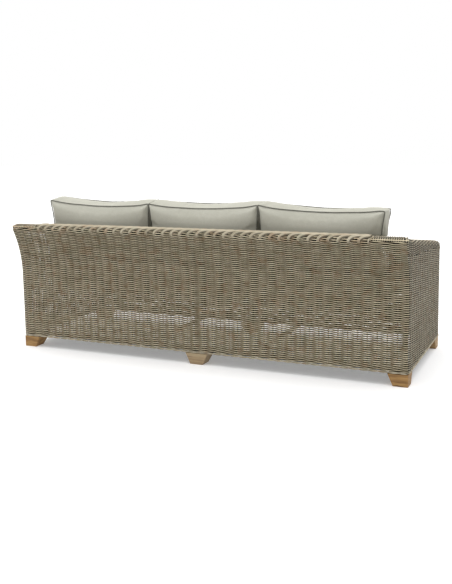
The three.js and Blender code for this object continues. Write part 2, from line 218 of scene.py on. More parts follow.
weaveLook = {
    "name": "weave_strand",
    "stops": [(0.0, (0.28, 0.225, 0.142)), (0.35, (0.59, 0.502, 0.336)), (0.65, (0.80, 0.70, 0.495)),
              (1.0, (0.95, 0.872, 0.672))],
    # the colour of the painted shade where strands run behind others and on their undersides; the weave's
    # darkening towards the bottom goes to it too
    "paintedShade": (0.006, 0.005, 0.003),
    "paintedShadeRoughness": 0.2,
    "streakScale": (28.0, 900.0, 900.0),
    "streakStrength": 0.25,
    "patchScale": (19.0, 19.0, 26.0),
    "patchStrength": 0.5,
    "red": {"scale": (21.0, 21.0, 26.0), "span": (0.54, 0.66), "tint": (0.78, 0.54, 0.42),
            "strength": 0.38},
    "green": {"scale": (18.0, 18.0, 22.0), "span": (0.52, 0.66), "tint": (0.66, 0.74, 0.72),
              "strength": 0.32, "turn": (0.4, 0.2, 0.9)},
    "roughness": (0.42, 0.68),
    "bump": 0.00012,
    "specular": 0.12,
}
# the border's strands: the strands' material, darker and less patchy; on the arms' sides, tops and fronts
# it is painted shade on the same strands
borderAndShadeLook = dict(
    weaveLook,
    name="border_strand_and_shade",
    patchStrength=0.35,
    stops=[(0.0, (0.23, 0.187, 0.122)), (0.35, (0.445, 0.388, 0.279)), (0.65, (0.59, 0.53, 0.401)),
           (1.0, (0.77, 0.708, 0.556))])
# painted shade: the stakes are the strands' own material made much darker, for where they stand behind
# the strands
shadedStakeLook = dict(
    weaveLook,
    name="stake_strand_shaded",
    stops=[(0.0, (0.04, 0.033, 0.022)), (1.0, (0.15, 0.128, 0.088))])
weaveMaterial = strandMaterial(weaveLook)
borderAndShadeMaterial = strandMaterial(borderAndShadeLook)
shadedStakeMaterial = strandMaterial(shadedStakeLook)


woodLook = {
    "grainScale": (7.0, 26.0, 120.0),
    "ringScale": (2.2, 9.0, 34.0),
    "crackScale": (5.0, 30.0, 150.0),
    "crackSpan": (0.655, 0.69),
    "toneSpan": (0.32, 0.68),
    "silverSpan": (0.35, 0.6),
    "grainShare": 0.62,
    "stops": [(0.0, (0.12, 0.054, 0.015)), (0.42, (0.255, 0.134, 0.042)), (0.62, (0.355, 0.203, 0.069)),
              (1.0, (0.455, 0.287, 0.116))],
    "silver": (0.40, 0.335, 0.225),
    "weathering": {"rear_middle": 0.75, "rear_right": 0.05, "rear_left": 0.05},
    "crack": (0.035, 0.017, 0.009),
    "roughness": (0.48, 0.72),
    "bump": 0.0004,
}


def woodMaterial(v, name, shift, weathering):
    s = Shader(name)
    coords = s.node("ShaderNodeTexCoord", output="Object")

    def stretched(scale):
        return s.node("ShaderNodeMapping", None, {"Vector": coords, "Scale": scale, "Location": shift})

    grain = s.noise(stretched(v["grainScale"]), 1.0, 6.0, 0.62, 0.35)
    rings = s.noise(stretched(v["ringScale"]), 1.0, 2.0, 0.5, 0.8)
    tone = s.span(grain * v["grainShare"] + rings * (1 - v["grainShare"]), *v["toneSpan"])
    crack = s.span(s.noise(stretched(v["crackScale"]), 1.0, 3.0, 0.6, 0.2), *v["crackSpan"])
    silver = s.span(grain * 0.5 + rings * 0.5, *v["silverSpan"], (0.5 * weathering, weathering))
    colour = s.blend(silver, s.ramp(tone, v["stops"]), (*v["silver"], 1))
    colour = s.blend(crack, colour, (*v["crack"], 1))
    return s.finish(Base_Color=colour, Roughness=s.span(grain, 0.3, 0.7, v["roughness"]),
                    Normal=s.bump(grain * 0.6 - crack, v["bump"]), Specular_IOR_Level=0.3)


fabricLook = {
    "light": (0.515, 0.508, 0.44),
    "dark": (0.44, 0.433, 0.366),
    "warpScale": (900.0, 900.0, 90.0),
    "weftScale": (90.0, 900.0, 900.0),
    "slubScale": (60.0, 60.0, 60.0),
    "cloudScale": (3.0, 3.0, 3.0),
    "toneSpan": (0.42, 0.68),
    "roughness": (0.82, 0.96),
    "bump": 0.00018,
    "pipingTint": 0.34,
}


def fabricMaterial(v, name, tint=1.0):
    s = Shader(name)
    warp, weft, cloud = (s.patches(v[key]) for key in ("warpScale", "weftScale", "cloudScale"))
    slub = s.patches(v["slubScale"], 5.0, 0.6)
    tone = s.span(warp * 0.3 + weft * 0.3 + slub * 0.2 + cloud * 0.3, *v["toneSpan"])
    dark, light = ((*[c * tint for c in v[key]], 1) for key in ("dark", "light"))
    roughness = s.span(slub, 0.3, 0.7, v["roughness"])
    return s.finish(Base_Color=s.blend(tone, dark, light), Roughness=roughness,
                    Normal=s.bump(warp * 0.5 + weft * 0.5, v["bump"]), Specular_IOR_Level=0.15,
                    Sheen_Weight=0.12)


def tubeMaterial():
    s = Shader("frame_paint")
    peel = s.noise(s.place(), 420.0)
    dust = s.patches((9.0, 9.0, 9.0), 4.0)
    colour = s.blend(s.span(dust, 0.35, 0.75), (0.036, 0.029, 0.023, 1), (0.075, 0.064, 0.052, 1))
    return s.finish(Base_Color=colour, Roughness=s.span(dust, 0.3, 0.7, (0.38, 0.6)),
                    Normal=s.bump(peel, 0.0002), Metallic=0.0)


def steelMaterial():
    s = Shader("bolt_zinc")
    brushed = s.patches((40.0, 900.0, 40.0), 3.0)
    spots = s.noise(s.place(), 160.0, 3.0)
    colour = s.blend(s.span(spots, 0.4, 0.7), (0.56, 0.56, 0.55, 1), (0.42, 0.42, 0.43, 1))
    return s.finish(Base_Color=colour, Roughness=s.span(brushed, 0.3, 0.7, (0.26, 0.45)),
                    Normal=s.bump(brushed, 0.00008), Metallic=1.0)


# the woven body's outline, worked out from the frame and from the arm's own radii
shape = {
    "edgeRadius": 0.020,
    "rearCornerRadius": 0.024,
    "ledgeDepth": 0.045,
    "shoulderRadius": 0.040,
    "shoulderAngle": math.radians(18),
    "dipRadius": 0.600,
    "armSlope": math.radians(7.1),
    "noseRadius": 0.055,
    "rakeStart": 0.420,
    "backThickness": 0.0709,
    "backRowsRise": 0.0165,  # how far the back's level rows reach up its rounded edge under the border
    "sideRowsRise": 0.0072,  # and over the arms
    "bindingRise": 0.0102,
    "capStart": 0.0070,
}
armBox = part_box("left_arm_outer_weave")
halfWidth, rearTopY, backTop = armBox[1]
frontY, skinBottom = armBox[0].y, armBox[0].z
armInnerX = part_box("left_arm_inner_weave")[0].x
deckLow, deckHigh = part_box("seat_deck_weave")
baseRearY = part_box("bottom_border_rear")[1].y
edgeRadius = shape["edgeRadius"]
cornerRadius = shape["rearCornerRadius"]
rearCornerY, rearCornerZ = rearTopY - cornerRadius, backTop - cornerRadius
rake = rearTopY - baseRearY
rakeRise = rearCornerZ - shape["rakeStart"]
rakeRadius = (rake ** 2 - 2 * cornerRadius * rake + rakeRise ** 2) / (2 * rake)
rakeAngle = math.asin(rakeRise / (rakeRadius + cornerRadius))
rakeEndZ = shape["rakeStart"] + rakeRadius * math.sin(rakeAngle)
shoulderY = rearTopY - shape["ledgeDepth"]
shoulderZ = backTop - shape["shoulderRadius"]
dipReach = shape["shoulderRadius"] + shape["dipRadius"]
dipY = shoulderY - dipReach * math.sin(shape["shoulderAngle"])
dipZ = shoulderZ + dipReach * math.cos(shape["shoulderAngle"])
noseY = frontY + shape["noseRadius"]
slopeStartY = dipY + shape["dipRadius"] * math.sin(shape["armSlope"])
slopeStartZ = dipZ - shape["dipRadius"] * math.cos(shape["armSlope"])
noseTopY = noseY - shape["noseRadius"] * math.sin(shape["armSlope"])
noseTopZ = slopeStartZ + (noseTopY - slopeStartY) * math.tan(shape["armSlope"])
noseZ = noseTopZ - shape["noseRadius"] * math.cos(shape["armSlope"])


def rearY(z, inset=0.0):
    if z > rakeEndZ and inset < cornerRadius:
        return rearCornerY + math.sqrt(max(0.0, (cornerRadius - inset) ** 2 - (z - rearCornerZ) ** 2))
    radius = rakeRadius + inset
    rise = max(0.0, z - shape["rakeStart"])
    return baseRearY + rakeRadius - math.sqrt(radius ** 2 - rise ** 2)


def rearNormal(z):
    if z > rakeEndZ:
        tilt = math.asin(max(-1.0, min(1.0, (z - rearCornerZ) / cornerRadius)))
    else:
        tilt = -math.asin(max(0.0, z - shape["rakeStart"]) / rakeRadius)
    return np.array([0.0, math.cos(tilt), math.sin(tilt)])


def topZ(y):
    if y >= shoulderY:
        return backTop
    if y >= shoulderY - shape["shoulderRadius"] * math.sin(shape["shoulderAngle"]):
        return shoulderZ + math.sqrt(shape["shoulderRadius"] ** 2 - (y - shoulderY) ** 2)
    if y >= slopeStartY:
        return dipZ - math.sqrt(shape["dipRadius"] ** 2 - (y - dipY) ** 2)
    return slopeStartZ + (y - slopeStartY) * math.tan(shape["armSlope"])


def arc(centre, radius, start, end, steps):
    # points on a part of a circle, and the directions outwards there
    turns = [start + (end - start) * step / steps for step in range(steps + 1)]
    outward = np.array([(math.cos(turn), math.sin(turn)) for turn in turns])
    return np.array(centre) + radius * outward, outward


def topOutline():
    # points and normals (y, z) over the arm, from the rear corner's start to the nose's end
    quarter = math.pi / 2
    slope, shoulder = shape["armSlope"], shape["shoulderAngle"]
    capStart = math.asin(shape["capStart"] / cornerRadius)
    arcs = (arc((rearCornerY, rearCornerZ), cornerRadius, capStart, quarter, 9),
            arc((shoulderY, shoulderZ), shape["shoulderRadius"], quarter, quarter + shoulder, 6),
            arc((dipY, dipZ), shape["dipRadius"], shoulder - quarter, slope - quarter, 12),
            arc((noseY, noseZ), shape["noseRadius"], quarter + slope, math.pi, 12))
    lines, outward = zip(*arcs)
    return np.vstack(lines), np.vstack([n * side for n, side in zip(outward, (1, 1, -1, 1))])


# strands: paths are gathered, swept as one bevelled curve and given their own colours and map
weave = {
    "rowPitch": 0.00525,
    "strandRadius": 0.0021,
    "stakeRadius": 0.0016,
    "stakeSpread": 0.0019,  # each stake is a pair, this far to both sides
    "swing": 0.0030,
    "depth": 0.0040,
    "backThickening": 0.45,  # how much thicker a strand lies where it runs behind
    "sharpness": 0.36,
    "backStakes": 46,
    "sideStakes": 18,
    "armFrontStakes": 4,
    "apronStakes": 38,
    "stakePitch": 0.0485,
    "shadeRun": 2.6,  # stakes from one change of a strand's colour to the next
    "shadeSpread": 0.07,
    "rowSpread": 0.05,
    "darkening": (0.22, 0.74),  # how far behind a strand is where its painted shade starts and ends
    # the same painted shade on the arms' sides, on the rounded edges and over the arms' tops
    "sideDarkening": (0.15, 0.70),
    "sideSwing": 0.0020,
    "sideRadius": 0.0019,
    "edgeDarkening": (0.25, 0.95),
    "capDarkening": (0.20, 0.70),
    "capRadius": 0.0021,
    "tuck": 0.004,
    "wander": 0.00022,
    "seamDropFront": 0.035,
    "seamDropRear": 0.084,
    "deckPitch": 0.0078,
    "shortest": 0.006,
    "swingSpread": 0.05,
    "cornerStep": 0.125,  # how near to its ends a strand has another point, in stakes
    "nearest": 0.04,
    "recessOverEdges": 0.2,  # of the recess that shows, in the rows round an arm's top
    "stakeBow": 0.026,  # how far the back's stakes lean to one side at the top, most near the middle
    "bowStart": 0.57,
    "bowReach": 0.84,
    "underShade": 0.85,
    "underFrom": 0.15,
    "stakeContrast": 0.4,
    "stakeInset": 0.25,  # how much nearer to the first corner a side's stakes stand, in stakes
    "stakeClearance": 0.020,  # how far the side's stakes end below the arm's top
    "noseGap": 0.002,
    "edgeGap": 0.001,
    "edgeRows": 5,
    "bindingShadeStep": 0.3,
    "noseReach": 0.04,
    "noseSteepness": 9,
    "armInnerStakes": 17,
    "backInnerOverlap": 0.006,
    "deckSwing": 0.0022,
    "deckInset": 0.004,
    "bindingRadius": 0.0027,
    "bindingLift": 0.0032,
    "lowDarkening": (0.30, 0.10, 0.14),  # heights where the weave starts and ends darkening, and how much
    "closenessAt": (0.19, 0.215, 0.32, 0.36),  # heights where the back's strands change in thickness
    "closeness": (0.00245, 0.0020, 0.0020, 0.0021),
    "recess": 0.10,  # painted shade: how light the lightest strands stay where they run behind the stakes
}
# where each piece's strands and stakes start in the tables of shades
shadesFrom = {
    "edgeStakes": 60, "sideStakes": 100, "armFrontStakes": 140, "armInnerStakes": 160, "apronStakes": 180,
    "backInnerStakes": 220, "deckStakes": 260, "binding": 290, "outerEdge": 300, "cap": 320,
    "innerEdge": 360, "deck": 380, "core": 400, "arches": 430, "rims": 470,
}
# the band of the map that each strand gets, as shares of the map's length and of the band
mapBand = {"start": 0.01, "stretch": 1.02, "margin": 0.1, "fill": 0.8, "capLength": 0.002,
           "capFill": 0.35}
strandShift = (0.37, 0.05)  # between two strands in the texture
shadeRows, shadeKnots = 512, 48
recessRows, recessColumns = 61, 37
draw = np.random.default_rng(7)
shadeTable = 0.5 + weave["shadeSpread"] * draw.standard_normal((shadeRows, shadeKnots))
shadeTable = np.clip(shadeTable, 0.0, 1.0)
strandShade = weave["rowSpread"] * draw.standard_normal(shadeRows)
# painted shade: how light each column's strands stay where they run behind
recessTable = weave["recess"] * draw.random((recessRows, recessColumns)) ** 3


def lengthsOf(points):
    return np.concatenate([[0.0], np.cumsum(np.linalg.norm(np.diff(points, axis=0), axis=1))])


def bowShare(share):
    return np.sin(math.pi * np.clip(share / weave["bowReach"], 0, 1))


def pointAt(at, along, line):
    # places or normals at given distances along a line
    return np.stack([np.interp(at, along, axis) for axis in np.transpose(line)], -1)


def bowAt(z):
    share = min(1.0, max(0.0, z - weave["bowStart"]) / (backTop - weave["bowStart"]))
    return weave["stakeBow"] * share ** 1.15


def shadeAlong(row, stakes):
    knots = np.asarray(stakes) / weave["shadeRun"] + 3.7 * (row % 5)
    base = np.interp(knots % (shadeKnots - 1), np.arange(shadeKnots), shadeTable[row % shadeRows])
    return np.clip(base + strandShade[row % shadeRows], 0.0, 1.0)


def sweptMesh(name, lines, radii, sides, depth=1.0, cyclic=False):
    # a ring of so many sides swept along every line, all in one mesh
    curve = bpy.data.curves.new(name, "CURVE")
    curve.dimensions = "3D"
    curve.bevel_depth = depth
    curve.bevel_resolution = sides // 2 - 2
    for line, radius in zip(lines, radii):
        spline = curve.splines.new("POLY")
        spline.points.add(len(line) - 1)
        spline.points.foreach_set("co", np.column_stack([line, np.ones(len(line))]).ravel())
        spline.points.foreach_set("radius", np.full(len(line), 1.0) * radius)
        spline.use_cyclic_u = cyclic
    holder = placed(name + "_curve", curve)
    mesh = evaluatedMesh(holder)
    bpy.data.objects.remove(holder)
    mesh.name = name
    for layer in list(mesh.uv_layers):
        mesh.uv_layers.remove(layer)
    return mesh


class Strands:
    def __init__(self, sign=1):
        # points and normals are given for the left side, where the sign is 1
        self.side = np.array([sign, 1.0, 1.0])
        self.paths = []

    def add(self, points, radius, shade, slot=0, exposed=None):
        exposed = np.ones(len(points)) if exposed is None else exposed
        self.paths.append((np.asarray(points, float), radius, shade, slot, exposed))

    def weft(self, points, normals, fromStake, toStake, row, radius=weave["strandRadius"],
             swing=weave["swing"], darkening=weave["darkening"], tuckEnd=False, corners=True, part=None,
             bow=0.0, detail=4):
        # one strand over and under the stakes along a line, which counts stakes evenly on its way
        points, normals = (np.asarray(array, float) * self.side for array in (points, normals))
        along = lengthsOf(points)
        if along[-1] < weave["shortest"]:
            return
        first, last = sorted(part or (fromStake, toStake))
        places = {first, last}
        places.update(np.arange(math.ceil(first * detail), math.floor(last * detail) + 1) / detail)
        if corners:
            places.update((first + weave["cornerStep"], last - weave["cornerStep"]))
        stakes = np.array(sorted(p for p in places if first <= p <= last))
        stakes = stakes[np.concatenate([[True], np.diff(stakes) > weave["nearest"]])]
        stakes[-1] = last
        if toStake < fromStake:
            stakes = stakes[::-1]
        share = (stakes - fromStake) / (toStake - fromStake)
        at = share * along[-1] + bow * bowShare(share)
        place, normal = pointAt(at, along, points), pointAt(at, along, normals)
        normal /= np.linalg.norm(normal, axis=1)[:, None]
        wave = np.cos(math.pi * stakes)
        wave = np.sign(wave) * np.abs(wave) ** weave["sharpness"] * (1 if row % 2 == 0 else -1)
        reach = swing * (1 + weave["swingSpread"] * draw.standard_normal())
        place = place + normal * (wave * reach)[:, None]
        sway = np.interp(stakes, np.linspace(first, last, 9), draw.standard_normal(9)) * weave["wander"]
        place[:, 2] += sway * (1 - np.abs(normal[:, 2]))
        place[:, 0] += sway * np.abs(normal[:, 2])
        if tuckEnd:
            place[-1] -= normal[-1] * weave["tuck"]
        # painted shade: a strand is darkened where it runs behind the stakes, down to the light that the
        # recess table leaves
        behind = (1 - wave) / 2
        column = np.round(stakes).astype(int)
        recess = recessTable[column % recessRows, (row + 5 * column) // 9 % recessColumns]
        recess = recess * (1 if row < shadesFrom["outerEdge"] else weave["recessOverEdges"])
        start, end = darkening
        dark = np.clip((behind - start) / (end - start), 0, 1)
        exposed = 1 - (1 - recess) * dark * dark * (3 - 2 * dark)
        # the weave is made darker towards the bottom
        lowFrom, lowTo, lowMost = weave["lowDarkening"]
        exposed *= 1 - lowMost * np.clip((lowFrom - place[:, 2]) / (lowFrom - lowTo), 0, 1)
        thickness = radius * (1 + weave["backThickening"] * behind)
        self.add(place, thickness, shadeAlong(row, stakes), 0, exposed)

    def stake(self, points, number, across):
        points = np.asarray(points, float) * self.side
        for member in (-1, 1):
            tone = weave["stakeContrast"] * (shadeTable[(number * 2 + member) % shadeRows, 5] - 0.5)
            self.add(points + np.array(across) * member * weave["stakeSpread"], weave["stakeRadius"],
                     np.full(len(points), 0.5 + tone), 1)

    def build(self, name, replaced, materials, sides=6):
        paths = self.paths
        mesh = sweptMesh(name, [path[0] for path in paths], [path[1] for path in paths], sides)
        bm = bmesh.new()
        bm.from_mesh(mesh)
        bmesh.ops.holes_fill(bm, edges=[e for e in bm.edges if e.is_boundary], sides=sides)
        bmesh.ops.recalc_face_normals(bm, faces=bm.faces)
        bm.to_mesh(mesh)
        bm.free()
        self.colour(mesh, sides)
        for material in materials:
            mesh.materials.append(material)
        piece = placed(name, mesh)
        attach(piece, rootBody)
        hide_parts(replaced)
        print("woven:", name, len(paths), "strands,", len(mesh.polygons), "faces")

    def colour(self, mesh, sides):
        # each vertex's strand, its place along it and its place round it
        lines, radii, shades, slots, exposed = zip(*self.paths)
        counts = [len(line) for line in lines]

        def perVertex(values):
            return np.repeat(np.concatenate(values), sides, axis=0)

        strand = perVertex([np.full(n, i) for i, n in enumerate(counts)])
        step = perVertex([np.arange(n) for n in counts])
        ring = np.tile(np.arange(sides), sum(counts))
        # painted shade: strands are darker underneath, where they lie on the next one
        offset = vertexArray(mesh) - perVertex(lines)
        under = np.clip(weave["underFrom"] - offset[:, 2] / np.linalg.norm(offset, axis=1), 0, 1)
        exposed = perVertex(exposed) * (1 - weave["underShade"] * under)
        for label, values in (("shade", perVertex(shades)), ("exposed", exposed)):
            layer = mesh.attributes.new(label, "FLOAT", "POINT")
            layer.data.foreach_set("value", values.astype(np.float32))
        along = perVertex([lengthsOf(line) for line in lines])
        angle = 2 * math.pi * ring / sides
        radius = perVertex([np.full(n, np.max(r)) for n, r in zip(counts, radii)])
        place = np.column_stack([along + strandShift[0] * strand,
                                 radius * np.cos(angle) + strandShift[1] * strand,
                                 radius * np.sin(angle)])
        layer = mesh.attributes.new("strandPlace", "FLOAT_VECTOR", "POINT")
        layer.data.foreach_set("vector", place.astype(np.float32).ravel())
        # the map gives every strand a band of its own
        loopVertex = np.zeros(len(mesh.loops), np.int32)
        mesh.loops.foreach_get("vertex_index", loopVertex)
        faceStart, faceSize = np.zeros((2, len(mesh.polygons)), np.int32)
        mesh.polygons.foreach_get("loop_start", faceStart)
        mesh.polygons.foreach_get("loop_total", faceSize)
        loopStep, loopRing = step[loopVertex], ring[loopVertex]
        isCap = np.minimum.reduceat(loopStep, faceStart) == np.maximum.reduceat(loopStep, faceStart)
        wraps = (np.maximum.reduceat(loopRing, faceStart) == sides - 1) & ~isCap
        loopRing = np.where(np.repeat(wraps, faceSize) & (loopRing == 0), sides, loopRing)
        isCap = np.repeat(isCap, faceSize)
        turn, own = angle[loopVertex], strand[loopVertex]
        u = along[loopVertex] / (along.max() * mapBand["stretch"]) + mapBand["start"]
        u = np.where(isCap, u + mapBand["capLength"] * np.cos(turn), u)
        v = np.where(isCap, own + 0.5 + mapBand["capFill"] * np.sin(turn),
                     own + mapBand["margin"] + mapBand["fill"] * loopRing / sides) / len(counts)
        layer = mesh.uv_layers.new(name="OFBake", do_init=False)
        layer.data.foreach_set("uv", np.column_stack([u, v]).astype(np.float32).ravel())
        slotOf = np.array(slots)[strand[loopVertex[faceStart]]]
        mesh.polygons.foreach_set("material_index", slotOf.astype(np.int32))
        mesh.polygons.foreach_set("use_smooth", (faceSize == 4))
        mesh.update()


weaveRadius = edgeRadius - weave["depth"]  # of the rounded edges, at the weave's middle plane
eighth = math.pi / 4
eighthReach = weaveRadius * math.cos(eighth)


def cornerArc(centre, start, end, z, tilt=0.0):
    # part of a rounded upright edge, seen from above
    line, outward = arc(centre, weaveRadius, start, end, 4)
    return [(x, y, z) for x, y in line], [(c, s, tilt * max(0.0, s)) for c, s in outward]


def rowHeights(z, end):
    heights = []
    while z < end:
        heights.append(z)
        z += weave["rowPitch"] * rearNormal(z)[1]
    return heights


heights = rowHeights(skinBottom + weave["rowPitch"] / 2, rearCornerZ)
backHeights = heights + rowHeights(heights[-1], rearCornerZ + shape["backRowsRise"])[1:]
stakeHeights = heights[:-1:6] + heights[-1:]
cornerX = halfWidth - edgeRadius
weaveLooks = [weaveMaterial, shadedStakeMaterial]
borderAndShadeLooks = [borderAndShadeMaterial, shadedStakeMaterial]


def backRow(z):
    centre = (cornerX, rearY(z) - edgeRadius)
    start = eighth if z <= heights[-1] else 0.0
    halves = (np.array(half) for half in cornerArc(centre, start, 2 * eighth, z, rearNormal(z)[2]))
    return [np.vstack([half, half[::-1] * (-1, 1, 1)]) for half in halves]


def makeBack():
    count = weave["backStakes"]
    borderStake = count * (halfWidth - armInnerX) / (2 * halfWidth)
    for side, first, last in (("left", 0, count // 2), ("right", count // 2, count)):
        strands = Strands()
        for row, z in enumerate(backHeights):
            stop = 0.0 if z < rearCornerZ + shape["sideRowsRise"] else borderStake
            radius = np.interp(z, weave["closenessAt"], weave["closeness"])
            strands.weft(*backRow(z), 0, count, row, bow=bowAt(z), radius=radius,
                         part=(max(first, stop), min(last, count - stop)))
        for stake in range(max(first, 1), last):
            share = (stake - weave["stakeInset"]) / (count - 2 * weave["stakeInset"])
            line = []
            for z in backHeights[:-1:6] + backHeights[-1:]:
                x = cornerX - 2 * cornerX * share - bowAt(z) * bowShare(share)
                line.append((x, rearY(z) - weave["depth"], z))
            strands.stake(line, stake, (1, 0, 0))
        # a binding strand closes the rows beside the border
        points, normals = backRow(rearCornerZ + shape["bindingRise"])
        points = (points + normals * weave["bindingLift"])[:len(points) // 2]
        points = np.vstack([points, [[armInnerX, points[-1][1], points[-1][2]]]])
        shades = shadeAlong(shadesFrom["binding"], np.arange(len(points)) * weave["bindingShadeStep"])
        strands.add(points * (sideSigns[side], 1, 1), weave["bindingRadius"], shades)
        strands.build("weave_back_outer_" + side, "back_outer_weave", weaveLooks)


def seamDrop(y):
    share = (y - noseTopY) / (rearTopY - noseTopY)
    return weave["seamDropFront"] + (weave["seamDropRear"] - weave["seamDropFront"]) * share


def seamY(z):
    # how far forward a level row runs before it meets the rows that follow the arm's top
    if z <= noseZ:
        return None
    near = [y for y in np.linspace(noseTopY, rearTopY, 600) if topZ(y) - seamDrop(y) >= z]
    if near and near[0] > noseTopY + weave["noseGap"]:
        return near[0]
    drop = weave["seamDropFront"]
    return noseY - math.sqrt(max(0.0, (shape["noseRadius"] - drop) ** 2 - (z - noseZ) ** 2))


seamRearZ = backTop - weave["seamDropRear"]
outlinePoints, outlineNormals = topOutline()
outlineAlong = lengthsOf(outlinePoints)
topStakes = 2 * round(outlineAlong[-1] / weave["stakePitch"] / 2)
edgeArc = weaveRadius * math.pi / 2
firstSideDrop = backTop - heights[-1]
firstEdgeRow = edgeArc + firstSideDrop - edgeRadius
tangentStep = 0.002


def overTop(across):
    # x from the edge's start, drop below the top and turn of the surface, at a distance over the edge
    if across < edgeArc:
        angle = across / weaveRadius
        return weaveRadius * math.sin(angle), edgeRadius - weaveRadius * math.cos(angle), angle
    return weaveRadius, edgeRadius + across - edgeArc, math.pi / 2


def topLine(x, drop, turn, outward):
    n = outlineNormals
    points = np.column_stack([np.full(len(n), x), outlinePoints - n * drop])
    normals = np.column_stack([np.full(len(n), outward * math.sin(turn)), n * math.cos(turn)])
    return points, normals


def topStakeLines(strands, places):
    # stakes across the arm's top; places are pairs of x and the drop below the top
    for stake in range(1, topStakes):
        at = stake / topStakes * outlineAlong[-1]
        point, normal = (pointAt(at, outlineAlong, line) for line in (outlinePoints, outlineNormals))
        start, end = pointAt((at - tangentStep, at + tangentStep), outlineAlong, outlinePoints)
        across = np.array([0.0, *(end - start)]) / math.hypot(*(end - start))
        strands.stake([(x, *(point - normal * drop)) for x, drop in places],
                      stake + shadesFrom["edgeStakes"], across)


def edgeRows(strands, cornerAt, outward, rowStart):
    # rows over the rounded edge between an arm's top and its side
    for index in range(1, weave["edgeRows"] + 1):
        across = firstEdgeRow - index * weave["rowPitch"]
        if across < weave["edgeGap"]:
            break
        over, drop, turn = overTop(across)
        strands.weft(*topLine(cornerAt + outward * over, drop, turn, outward), 0, topStakes,
                     rowStart + index, tuckEnd=True, corners=False, darkening=weave["edgeDarkening"])
    places = [overTop(across)[:2] for across in np.linspace(0, firstEdgeRow, 5)]
    topStakeLines(strands, [(cornerAt + outward * over, drop) for over, drop in places])


sideLook = {"radius": weave["sideRadius"], "swing": weave["sideSwing"],
            "darkening": weave["sideDarkening"]}


def followTop(strands, x, lead, leadNormals, z, row):
    # a row that starts level and then follows the arm's top down to the seam or round the nose
    drop = backTop - z
    reachesNose = drop <= weave["seamDropFront"]
    ys = [y for y in np.linspace(lead[-1][1], noseTopY, 60)[1:] if reachesNose or seamDrop(y) >= drop]
    points = lead + [(x, y, topZ(y) - drop) for y in ys]
    if reachesNose:
        start = math.pi / 2 + shape["armSlope"]
        nose, _ = arc((noseY, noseZ), shape["noseRadius"] - drop, start, math.pi, 8)
        points += [(x, *place) for place in nose[1:]]
    normals = leadNormals + leadNormals[-1:] * (len(points) - len(lead))
    stakes = lengthsOf(np.array(points))[-1] / weave["stakePitch"]
    strands.weft(points, normals, 0, stakes, row, tuckEnd=True, **sideLook)


def makeArmOuter(side, sign):
    strands = Strands(sign)
    sideX = halfWidth - weave["depth"]
    frontAt = frontY + edgeRadius
    for row, z in enumerate(heights):
        rear = (cornerX, rearY(z) - edgeRadius)
        line, normals = cornerArc(rear, eighth, 0, z, rearNormal(z)[2])
        if z > seamRearZ:
            followTop(strands, sideX, line, normals, z, row)
            continue
        front, frontNormals = cornerArc((cornerX, frontAt), 0, -eighth, z)
        full = lengthsOf(np.array(line + front))[-1]
        stop = seamY(z)
        if stop is None:
            line, normals = line + front, normals + frontNormals
        else:
            line, normals = line + [(sideX, stop, z)], normals + [(1, 0, 0)]
        share = lengthsOf(np.array(line))[-1] / full
        strands.weft(line, normals, 0, weave["sideStakes"] * share, row, tuckEnd=stop is not None,
                     **sideLook)
    for stake in range(weave["sideStakes"]):
        ahead = max(0.0, stake - weave["stakeInset"])
        points = []
        for z in stakeHeights:
            rearAt = rearY(z) - edgeRadius
            y = rearAt + (frontAt - rearAt) * ahead / (weave["sideStakes"] - 2 * weave["stakeInset"])
            noseRise = math.sqrt(max(0.0, weave["noseReach"] ** 2 - min(0, y - noseY) ** 2))
            if z < topZ(y) - weave["stakeClearance"] and z < noseZ + noseRise * weave["noseSteepness"]:
                points.append((sideX, y, z))
        if stake == 0:
            x = cornerX + eighthReach
            points = [(x, rearY(z) - edgeRadius + eighthReach, z) for z in stakeHeights]
        strands.stake(points, stake + shadesFrom["sideStakes"], (0, 1, 0))
    edgeRows(strands, cornerX, 1, shadesFrom["outerEdge"])
    # painted shade: the arm's side takes the darker border material
    strands.build(f"weave_arm_outer_{side}", f"{side}_arm_outer_weave", borderAndShadeLooks)


def makeArmCap(side, sign):
    strands = Strands(sign)
    inner, outer = armInnerX + edgeRadius, cornerX
    count = round((outer - inner) / weave["rowPitch"])
    for index in range(count):
        x = inner + (index + 0.5) * (outer - inner) / count
        strands.weft(*topLine(x, weave["depth"], 0, 1), 0, topStakes, shadesFrom["cap"] + index,
                     tuckEnd=True, corners=False, radius=weave["capRadius"],
                     darkening=weave["capDarkening"])
    topStakeLines(strands, [(x, weave["depth"]) for x in (inner, outer)])
    # the arm's front, whose rows come round the outer edge
    frontAt = frontY + edgeRadius
    frontHeights = [z for z in heights if z <= noseZ - weave["noseGap"]]
    for row, z in enumerate(frontHeights):
        points, normals = cornerArc((outer, frontAt), -eighth, -2 * eighth, z)
        if z > deckLow.z:
            more, moreNormals = cornerArc((inner, frontAt), -2 * eighth, -3 * eighth, z)
        else:
            more, moreNormals = [(armInnerX, frontY + weave["depth"], z)], [(0, -1, 0)]
        strands.weft(points + more, normals + moreNormals, 0, weave["armFrontStakes"], row)
    for stake in range(weave["armFrontStakes"]):
        x = halfWidth - (halfWidth - armInnerX) * stake / weave["armFrontStakes"]
        y = frontY + weave["depth"]
        if stake == 0:
            x, y = cornerX + eighthReach, frontAt - eighthReach
        strands.stake([(x, y, z) for z in frontHeights[::6] + [noseZ]],
                      stake + shadesFrom["armFrontStakes"], (1, 0, 0))
    # painted shade: the arm's top and front take the darker border material
    strands.build(f"weave_arm_cap_{side}", f"{side}_arm_cap_weave", borderAndShadeLooks)


def backInnerY(z):
    return rearY(z, shape["backThickness"])


